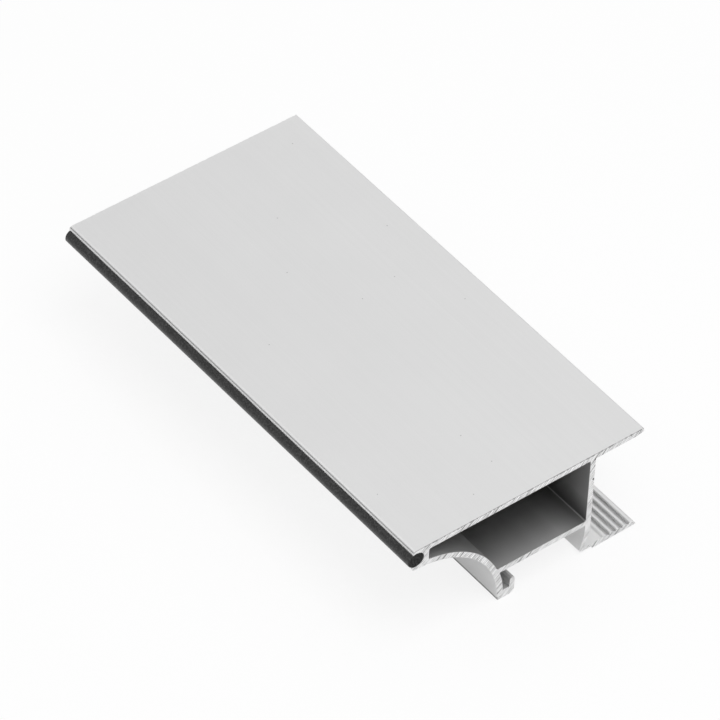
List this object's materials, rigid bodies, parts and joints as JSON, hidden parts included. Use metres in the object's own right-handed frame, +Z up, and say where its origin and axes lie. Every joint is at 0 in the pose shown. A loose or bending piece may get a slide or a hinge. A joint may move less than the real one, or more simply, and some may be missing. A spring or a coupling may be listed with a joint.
{
  "type": "aluminium extrusion profile",
  "caption": "Short length of extruded aluminium edge profile: flat face plate, curved finger grip, hollow chamber, ribbed board slot and a black rubber seal along its leading edge.",
  "frame": {"origin": "on the resting level, under the middle of the whole object", "axes": "+X across the section, from the sealed leading edge to the board slot; +Y along the extrusion; +Z up through the face plate"},
  "size_m": [0.044, 0.084, 0.0204],
  "materials": {
    "anodised_aluminium": "satin silver anodised, sawn at both ends",
    "black_rubber": "matte"
  },
  "bodies": {
    "root": {"edge_profile": "anodised_aluminium", "rubber_seal": "black_rubber"}
  },
  "joints": []
}
